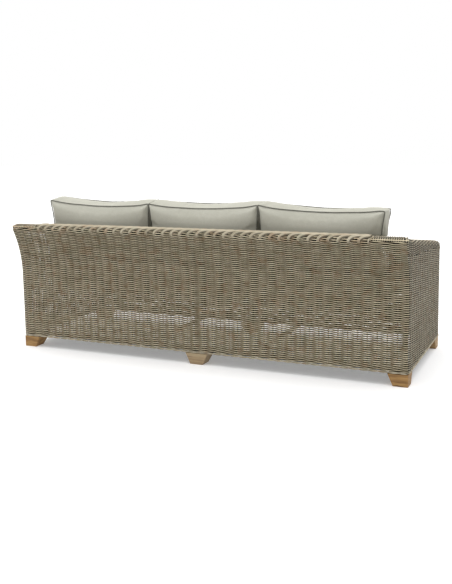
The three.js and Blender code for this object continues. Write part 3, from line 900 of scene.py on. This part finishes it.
def makeArmInner(side, sign):
    strands = Strands(sign)
    innerX = armInnerX + weave["depth"]
    corner = (armInnerX + edgeRadius, frontY + edgeRadius)
    pitch = weave["stakePitch"]
    for row, z in enumerate(heights):
        if z < deckLow.z:
            continue
        end = backInnerY(z)
        line, normals = [(innerX, end, z)], [(-1, 0, 0)]
        if z > seamRearZ:
            followTop(strands, innerX, line, normals, z, row)
            continue
        stop = seamY(z)
        if stop is not None and stop > end - weave["shortest"]:
            continue
        if stop is None:
            front, frontNormals = cornerArc(corner, -4 * eighth, -3 * eighth, z)
            line, normals = line + front, normals + frontNormals
        else:
            line, normals = line + [(innerX, stop, z)], normals * 2
        # stakes are counted from the front corner
        stakes = lengthsOf(np.array(line))[-1] / pitch
        lead = 0.0 if stop is None else (stop - frontY) / pitch
        strands.weft(line, normals, stakes + lead, lead, row, tuckEnd=stop is not None)
    rise = [z for z in stakeHeights if z > deckLow.z]
    for stake in range(weave["armInnerStakes"]):
        y = frontY + stake * pitch
        topAt = topZ(max(y, noseTopY)) - weave["stakeClearance"]
        points = [(innerX, y, z) for z in rise if z < topAt and y < backInnerY(z)]
        if stake == 0:
            x, y = corner[0] - eighthReach, corner[1] - eighthReach
            points = [(x, y, z) for z in rise if z < noseZ]
        if len(points) > 1:
            strands.stake(points, stake + shadesFrom["armInnerStakes"], (0, 1, 0))
    edgeRows(strands, corner[0], -1, shadesFrom["innerEdge"])
    strands.build(f"weave_arm_inner_{side}", f"{side}_arm_inner_weave", weaveLooks, sides=4)


def makeLevelPanels():
    count = weave["apronStakes"]
    acrossAt = [armInnerX - 2 * armInnerX * stake / count for stake in range(count + 1)]

    def levelRow(strands, reach, y, z, normal, row, **look):
        strands.weft([(reach, y, z), (-reach, y, z)], [normal] * 2, 0, count, row, corners=False, **look)

    strands = Strands()
    y = frontY + weave["depth"]
    for row, z in enumerate(heights):
        if z < deckLow.z:
            levelRow(strands, armInnerX, y, z, (0, -1, 0), row)
    for stake, x in enumerate(acrossAt):
        strands.stake([(x, y, z) for z in (heights[0], deckLow.z)], stake + shadesFrom["apronStakes"],
                      (1, 0, 0))
    strands.build("weave_apron_front", "front_apron_weave", weaveLooks)

    strands = Strands()
    for row, z in enumerate(heights):
        if z > deckHigh.z:
            levelRow(strands, armInnerX + weave["backInnerOverlap"], backInnerY(z) + weave["depth"], z,
                     -rearNormal(z), row + 1, detail=2)
    rise = [z for z in stakeHeights if z > deckHigh.z]
    for stake in range(1, count):
        strands.stake([(acrossAt[stake], backInnerY(z) + weave["depth"], z) for z in rise],
                      stake + shadesFrom["backInnerStakes"], (1, 0, 0))
    strands.build("weave_back_inner", "back_inner_weave", weaveLooks, sides=4)

    strands = Strands()
    z = deckHigh.z - weave["depth"]
    rows = round((deckHigh.y - deckLow.y) / weave["deckPitch"])
    for row in range(rows):
        y = deckLow.y + (row + 0.5) * (deckHigh.y - deckLow.y) / rows
        levelRow(strands, armInnerX, y, z, (0, 0, 1), row + shadesFrom["deck"], detail=2,
                 swing=weave["deckSwing"])
    for stake in range(1, count):
        line = [(acrossAt[stake], y, z) for y in (deckLow.y + weave["deckInset"], deckHigh.y)]
        strands.stake(line, stake + shadesFrom["deckStakes"], (1, 0, 0))
    strands.build("weave_seat_deck", "seat_deck_weave", weaveLooks, sides=4)


makeBack()
for side, sign in sideSigns.items():
    makeArmOuter(side, sign)
    makeArmCap(side, sign)
    makeArmInner(side, sign)
makeLevelPanels()
print("weave made")


# rolled border along the back's top: a close core, and at each stake arches that lean over and lie down
topBorder = {
    "coreRadius": 0.0024,
    "corePitch": 0.0048,
    "coreDrop": 0.0052,
    # painted shade: the core is darkened, as if in the shadow of the arches over it
    "coreExposure": 0.26,
    "corePoints": 40,
    "archRadius": (0.0034, 0.0032, 0.0024),
    "archStep": 0.0056,  # sideways and downwards from one arch of a stake to the next
    "archLift": (0.0032, 0.0026, 0.0002),
    # painted shade: the lowest arch is darkened as well
    "archExposure": (1.0, 1.0, 0.4),
    "crestLift": 0.0006,
    "footDip": 0.006,
    "risePoints": 15,
    "run": 2.0,  # stakes that an arch passes on its way up
    "steepness": 0.35,
    "startBelow": 0.008,
    "intoArms": 0.008,
    "archShades": 80,
    "stakesBefore": 4,
}


def borderLine():
    # the section over the back's top between the arms, from the outer face to the inner one
    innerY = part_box("back_top_border")[0].y + cornerRadius
    quarter = math.pi / 2
    below = np.linspace(rearCornerZ - topBorder["startBelow"], rearCornerZ, 3)[:-1]
    outer, outerNormals = arc((rearCornerY, rearCornerZ), cornerRadius, 0, quarter, 8)
    inner, innerNormals = arc((innerY, rearCornerZ), cornerRadius, quarter, 2 * quarter, 8)
    points = np.vstack([[(rearY(z), z) for z in below], outer, inner])
    return points, np.vstack([[rearNormal(z)[1:] for z in below], outerNormals, innerNormals])


def makeTopBorder(v):
    points, normals = borderLine()
    along = lengthsOf(points)
    strands = Strands()
    ends = armInnerX + v["intoArms"]

    def onSection(at, lift):
        return pointAt(at, along, points) + pointAt(at, along, normals) * lift

    coreStart = v["startBelow"] + cornerRadius * math.asin(shape["backRowsRise"] / cornerRadius)
    count = v["corePoints"]
    for row, at in enumerate(np.arange(coreStart, along[-1], v["corePitch"])):
        line = [(x, *onSection(at, -v["coreDrop"])) for x in np.linspace(ends, -ends, count)]
        shades = shadeAlong(shadesFrom["core"] + row, np.arange(float(count)))
        # the core's strands carry their painted shade
        strands.add(line, v["coreRadius"], shades, 0, np.full(count, v["coreExposure"]))
    pitch = 2 * armInnerX / weave["apronStakes"]
    crest = along[-1] / 2
    rise = np.linspace(0, 1, v["risePoints"])
    for stake in range(-v["stakesBefore"], weave["apronStakes"] + 1):
        for arch, radius in enumerate(v["archRadius"]):
            step = arch * v["archStep"]
            across = v["run"] * pitch * rise ** 2
            climb = (crest - step) * rise ** (2 * v["steepness"])
            lift = v["archLift"][arch] + (v["crestLift"] - v["archLift"][0]) * rise ** 3
            lift = lift - v["footDip"] * (1 - rise) ** 8
            if arch < 2:
                # the two upper arches go on over the crest and down the inner side
                across = np.concatenate([across, 2 * across[-1] - across[-2::-1]])
                climb = np.concatenate([climb, 2 * crest - climb[-2::-1]])
                lift = np.concatenate([lift, lift[-2::-1]])
            xs = armInnerX - stake * pitch - step - across
            path = [(x, *onSection(up, out)) for x, up, out in zip(xs, climb, lift) if abs(x) < ends]
            if len(path) > 3:
                row = shadesFrom["arches"] + (stake * 4 + arch) % v["archShades"]
                strands.add(path, radius, shadeAlong(row, np.linspace(0, 3, len(path))), 0,
                            np.full(len(path), v["archExposure"][arch]))
    strands.build("border_back_top", "back_top_border", borderAndShadeLooks)


makeTopBorder(topBorder)


# twisted rim under the skins
rim = {"strandRadius": 0.0031, "twistRadius": 0.0027, "turn": 0.095, "step": 0.011, "shadeStep": 0.05}


def makeRims(v):
    low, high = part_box("bottom_border_rear")
    z = (low.z + high.z) / 2
    middleY = (baseRearY + frontY) / 2
    halfDepth = (baseRearY - frontY) / 2
    layout = {"rear": (halfWidth, halfDepth, 0), "front": (halfWidth, halfDepth, 180),
              "left": (halfDepth, halfWidth, -90), "right": (halfDepth, halfWidth, 90)}
    for name, (halfLength, face, turn) in layout.items():
        corner, _ = cornerArc((halfLength - edgeRadius, face - edgeRadius), eighth, 2 * eighth, 0)
        line = np.array([(x, y) for x, y, _ in corner] + [(-x, y) for x, y, _ in reversed(corner)])
        along = lengthsOf(line)
        at = np.linspace(0, along[-1], round(along[-1] / v["step"]))
        x, y = pointAt(at, along, line).T
        outX, outY = np.gradient(y), -np.gradient(x)
        size = np.hypot(outX, outY)
        outX, outY = outX / size, outY / size
        c, s = math.cos(math.radians(turn)), math.sin(math.radians(turn))
        strands = Strands()
        for member in range(2):
            phase = 2 * math.pi * at / v["turn"] + math.pi * member
            aside, lift = v["twistRadius"] * np.cos(phase), v["twistRadius"] * np.sin(phase)
            px, py = x + outX * aside, y + outY * aside
            path = np.column_stack([c * px - s * py, s * px + c * py + middleY, z + lift])
            shades = shadeAlong(shadesFrom["rims"] + member + 2 * turn // 90, at / v["shadeStep"])
            strands.add(path, v["strandRadius"], shades)
        strands.build("rim_" + name, "bottom_border_" + name, [borderAndShadeMaterial])


makeRims(rim)
print("borders made")


# feet: the frame's blocks with eased edges
feet = {"bevel": 0.0016, "segments": 3, "shortest": 0.02, "sharpest": math.radians(40),
        "grainShift": (0.31, 1.7, 0.9)}


def makeFeet(v):
    names = sorted(n for n in cadNodes if n.startswith("foot_") and "bolt" not in n)
    for index, name in enumerate(names):
        bm = weldedNode(name)
        bmesh.ops.dissolve_limit(bm, angle_limit=math.radians(1), verts=bm.verts, edges=bm.edges)
        outer = [e for e in bm.edges if e.calc_length() > v["shortest"] and len(e.link_faces) == 2
                 and e.calc_face_angle(0) > v["sharpest"]]
        bmesh.ops.bevel(bm, geom=outer, offset=v["bevel"], offset_type="OFFSET", affect="EDGES",
                        segments=v["segments"], profile=0.5, material=-1, clamp_overlap=True)
        mesh = bpy.data.meshes.new("wood_" + name)
        bm.to_mesh(mesh)
        bm.free()
        weathering = woodLook["weathering"].get(name[5:], 0.3)
        shift = tuple(step * index for step in v["grainShift"])
        mesh.materials.append(woodMaterial(woodLook, "teak_" + name, shift, weathering))
        piece = placed("wood_" + name, mesh)
        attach(piece, rootBody)
        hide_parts(name)


makeFeet(feet)
print("feet made")

paint, zinc = tubeMaterial(), steelMaterial()
for name, item in cadNodes.items():
    isBolt = name.startswith("foot_bolt")
    if isBolt or "rail" in name or "post" in name:
        item.data.materials.clear()
        item.data.materials.append(zinc if isBolt else paint)


# cushions: boxed forms that are inflated as cloth, then piped along both face edges
cushions = {
    "voxel": 0.0067,
    "quickVoxel": 0.016,
    "shrink": (0.007, 0.6),  # how far inside the frame's form the cloth starts, and the share used
    "cloth": {"use_pressure": True, "uniform_pressure_force": 4.0, "quality": 5, "tension_stiffness": 12,
              "compression_stiffness": 8, "bending_stiffness": 0.4},
    "frames": 20,
    "cap": 0.011,
    "sideRoom": 0.0012,
    "pipingRadius": 0.0026,
    "pipingSteps": 220,
    "overhang": {"back_cushion_left": (0.013, 0.005, 0.0), "back_cushion_right": (0.033, 0.003, 0.012)},
    "overhangGap": 0.002,
    "overhangRise": 0.014,
    "widen": 1.055,
    "leanAt": (-0.92, -0.31, 0.31, 0.92),
    "lean": (-0.008, -0.016, -0.006, -0.008),  # how far the back cushions lie to one side
    "leanTopOnly": (0.60, 0.90),  # between these places it passes to their tops alone
    "riseAt": (-0.92, -0.62, -0.31, 0.0, 0.31, 0.62, 0.92),
    "rearRise": (0.008, 0.009, 0.012, 0.002, -0.002, -0.003, 0.002),
    "frontRise": (0.002, 0.0, 0.016, 0.004, 0.006, -0.005, 0.008),
    "tilt": 0.013,
    "rearSag": 0.012,
    "cornerFrom": 0.9,
    "cornerRun": 0.15,
    "backLean": math.radians(4),
    "sharpest": math.radians(42),
    "batch": 4000,
    "seamDepth": 0.0035,
    "seamWidth": 0.013,
}
fabric = fabricMaterial(fabricLook, "cushion_fabric")
pipingFabric = fabricMaterial(fabricLook, "piping_fabric", fabricLook["pipingTint"])


def smoothShade(mesh):
    mesh.polygons.foreach_set("use_smooth", np.ones(len(mesh.polygons), bool))


def eased(ring, times):
    for _ in range(times):
        ring = (np.roll(ring, 1, 0) + 2 * ring + np.roll(ring, -1, 0)) / 4
    return ring


def inflate(piece, v):
    scene = bpy.context.scene
    start = vertexArray(piece.data)
    cloth = piece.modifiers.new("cloth", "CLOTH")
    for key, value in v["cloth"].items():
        setattr(cloth.settings, key, value)
    cloth.settings.effector_weights.gravity = 0
    cloth.collision_settings.use_collision = False
    cloth.point_cache.frame_start, cloth.point_cache.frame_end = 1, v["frames"]
    for step in range(1, v["frames"] + 1):
        scene.frame_set(step)
    graph = bpy.context.evaluated_depsgraph_get()
    end = vertexArray(piece.evaluated_get(graph).to_mesh())
    piece.modifiers.remove(cloth)
    scene.frame_set(1)
    travel = end - start
    size = np.linalg.norm(travel, axis=1)
    travel *= np.minimum(1.0, v["cap"] / np.maximum(size, 1e-9))[:, None]
    piece.data.vertices.foreach_set("co", (start + travel).ravel())
    piece.data.update()
    print("inflated", piece.name, "mean travel", round(float(size.mean()) * 1000, 1), "mm")


def applied(piece):
    mesh = evaluatedMesh(piece)
    piece.modifiers.clear()
    piece.data = mesh


def settle(places, name, v):
    # a back cushion's rear seam sags between its corners, and the outer ones swell over the arms
    low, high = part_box(name)
    middle, half = (low.x + high.x) / 2, (high.x - low.x) / 2
    height = np.clip((places[:, 2] - low.z) / (high.z - low.z), 0, 1)
    aside = np.clip(np.abs(places[:, 0] - middle) / half, 0, 1)
    rearward = np.clip((places[:, 1] - low.y) / (high.y - low.y) * 2 - 1, 0, 1)
    places[:, 2] -= v["rearSag"] * (1 - aside ** 3) * rearward * height ** 3
    places[:, 2] += v["tilt"] * places[:, 0] * height ** 2
    rearRise = np.interp(places[:, 0], v["riseAt"], v["rearRise"])
    frontRise = np.interp(places[:, 0], v["riseAt"], v["frontRise"])
    places[:, 2] += (frontRise + (rearRise - frontRise) * rearward) * height ** 2
    reach, flare, drop = v["overhang"].get(name, (0.0, 0.0, 0.0))
    side = 1 if middle > 0 else -1
    outward = np.clip((places[:, 0] - middle) * side / half, 0, 1.1)
    armTop = np.array([topZ(y) for y in np.clip(places[:, 1], noseTopY, rearTopY)])
    close = np.clip((places[:, 2] - armTop - v["overhangGap"]) / v["overhangRise"], 0, 1)
    above = np.clip((places[:, 2] - backTop) / (high.z - backTop), 0, 1)
    over = reach * close * close * (3 - 2 * close) + flare * above
    places[:, 2] -= drop * np.clip((outward - v["cornerFrom"]) / v["cornerRun"], 0, 1) ** 2 * height ** 4
    lean = np.interp(places[:, 0], v["leanAt"], v["lean"])
    topOnly = np.interp(np.abs(places[:, 0]), v["leanTopOnly"], (0, 1))
    lean *= 1 - topOnly * (1 - height ** 2)
    places[:, 0] += lean + side * over * outward ** 3


def faceRings(node, back, v):
    # rings of points round the front and rear faces, where the frame's solid turns sharply
    bm = weldedNode(node)
    centre = sum((p.co for p in bm.verts), Vector()) / len(bm.verts)
    lean = v["backLean"]
    normal = Vector((0, math.cos(lean), -math.sin(lean))) if back else Vector((0, 0, 1))
    sharp = {e for e in bm.edges if len(e.link_faces) == 2 and e.calc_face_angle(0) > v["sharpest"]}
    onward = {e for e in sharp if abs((e.verts[1].co - e.verts[0].co).normalized().dot(normal)) <= 0.9}
    corners = [p for p in bm.verts if sum(e in sharp for e in p.link_edges) == 3]
    rings = []
    for sign in (1, -1):
        ring = [next(p for p in corners if (p.co - centre).dot(normal) * sign > 0)]
        while True:
            near = [e.other_vert(ring[-1]) for e in ring[-1].link_edges if e in onward]
            fresh = [p for p in near if p not in ring]
            if not fresh:
                break
            ring.append(fresh[0])
        rings.append([p.co.copy() for p in ring])
    bm.free()
    return rings


def closedLine(points, count):
    ring = np.array([tuple(p) for p in points + points[:1]])
    along = lengthsOf(ring)
    return eased(pointAt(np.linspace(0, along[-1], count, endpoint=False), along, ring), 3)


def makeCushion(name, back, v):
    bm = weldedNode(name)
    for vert in bm.verts:
        vert.normal_update()
    shrink, share = v["shrink"]
    for vert in bm.verts:
        vert.co = vert.co - vert.normal * shrink * share
    mesh = bpy.data.meshes.new("fabric_" + name)
    bm.to_mesh(mesh)
    bm.free()
    piece = placed("fabric_" + name, mesh)
    remesh = piece.modifiers.new("remesh", "REMESH")
    remesh.mode = "VOXEL"
    remesh.voxel_size = v["voxel"]
    applied(piece)
    inflate(piece, v)
    smooth = piece.modifiers.new("smooth", "SMOOTH")
    smooth.iterations = 2
    smooth.factor = 0.5
    subdivision = piece.modifiers.new("subdivision", "SUBSURF")
    subdivision.levels = subdivision.render_levels = 1
    applied(piece)
    mesh = piece.data
    co = vertexArray(mesh)
    low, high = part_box(name)
    room = v["sideRoom"]
    middle = (low.x + high.x) / 2
    co[:, 0] = np.clip(middle + (co[:, 0] - middle) * v["widen"], low.x - room, high.x + room)
    mesh.vertices.foreach_set("co", co.ravel())
    mesh.update()
    tree = BVHTree.FromPolygons([w.co for w in mesh.vertices], [tuple(p.vertices) for p in mesh.polygons])
    normals = vertexArray(mesh, "normal")
    rings = []
    for ring in faceRings(name, back, v):
        line = closedLine(ring, v["pipingSteps"])
        line[:, 0] = middle + (line[:, 0] - middle) * v["widen"]
        rings.append(eased(np.array([tuple(tree.find_nearest(Vector(point))[0]) for point in line]), 4))
    # the seams pull the surface in beside the piping
    everything = np.vstack(rings)
    for start in range(0, len(co), v["batch"]):
        part = slice(start, start + v["batch"])
        distance = np.min(np.linalg.norm(co[part][:, None, :] - everything[None, :, :], axis=2), axis=1)
        pull = v["seamDepth"] * np.exp(-(distance / v["seamWidth"]) ** 2)
        co[part] = co[part] - normals[part] * pull[:, None]
    if back:
        for places in (co, *rings):
            settle(places, name, v)
    mesh.vertices.foreach_set("co", co.ravel())
    mesh.update()
    smoothShade(mesh)
    mesh.materials.clear()
    mesh.materials.append(fabric)
    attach(piece, name)
    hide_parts(name)
    for index, ring in enumerate(rings):
        makePiping(f"piping_{name}_{index + 1}", ring, piece, v)


def makePiping(name, ring, owner, v):
    mesh = sweptMesh(name, [ring], [1.0], 8, v["pipingRadius"], cyclic=True)
    smoothShade(mesh)
    mesh.materials.append(pipingFabric)
    placed(name, mesh).parent = owner


for name in sorted(n for n in cadNodes if "cushion" in n):
    makeCushion(name, name.startswith("back"), cushions)
print("cushions made")


# floor and light: a bright sweep beyond the object, a dimmer room behind the camera, soft light above
stage = {
    "floorSize": 60.0,
    "floorColour": (0.84, 0.84, 0.84),
    "floorGlow": 0.30,
    "towardsRoom": (-0.81, 0.59, 0.0),
    "farStrength": 1.0,
    "nearStrength": 0.34,
    "topStrength": 0.9,
    "sideSpan": (-0.15, 0.35),
    "topSpan": (0.3, 1.0),
    "boxSpread": math.radians(75),
    "boxPower": 2.15,
}


def makeWorld(v):
    s = Shader("studio", "worlds", "Background")
    ahead = s.node("ShaderNodeTexCoord", output="Generated")
    nearness = s.node("ShaderNodeVectorMath", {"operation": "DOT_PRODUCT"},
                      {0: ahead, 1: v["towardsRoom"]}, "Value")
    around = s.span(nearness, *v["sideSpan"], (v["farStrength"], v["nearStrength"]), "SMOOTHSTEP")
    height = s.node("ShaderNodeSeparateXYZ", None, {0: ahead}, "Z")
    strength = s.node("ShaderNodeMix", None, {
        "Factor": s.span(height, *v["topSpan"]), "A": around, "B": v["topStrength"]})
    bpy.context.scene.world = s.finish(Color=(1.0, 1.0, 1.0, 1.0), Strength=strength)


def makeStage(v):
    bm = bmesh.new()
    bmesh.ops.create_grid(bm, x_segments=1, y_segments=1, size=v["floorSize"] / 2)
    mesh = bpy.data.meshes.new("floor")
    bm.to_mesh(mesh)
    bm.free()
    floor = placed("floor", mesh)
    s = Shader("floor_paper")
    grainy = s.noise(s.place(), 3.0, 2.0)
    pale = v["floorColour"]
    colour = s.blend(s.span(grainy, 0.3, 0.7), (*pale, 1), (*[c * 0.99 for c in pale], 1))
    mesh.materials.append(s.finish(Base_Color=colour, Roughness=0.9, Specular_IOR_Level=0.1,
                                   Emission_Color=(*pale, 1), Emission_Strength=v["floorGlow"]))
    makeWorld(v)
    light = placed("soft_box", bpy.data.lights.new("soft_box", "SUN"))
    light.data.angle = v["boxSpread"]
    light.data.energy = v["boxPower"]
    bpy.context.scene.view_settings.view_transform = "Standard"


makeStage(stage)
print("stage made")
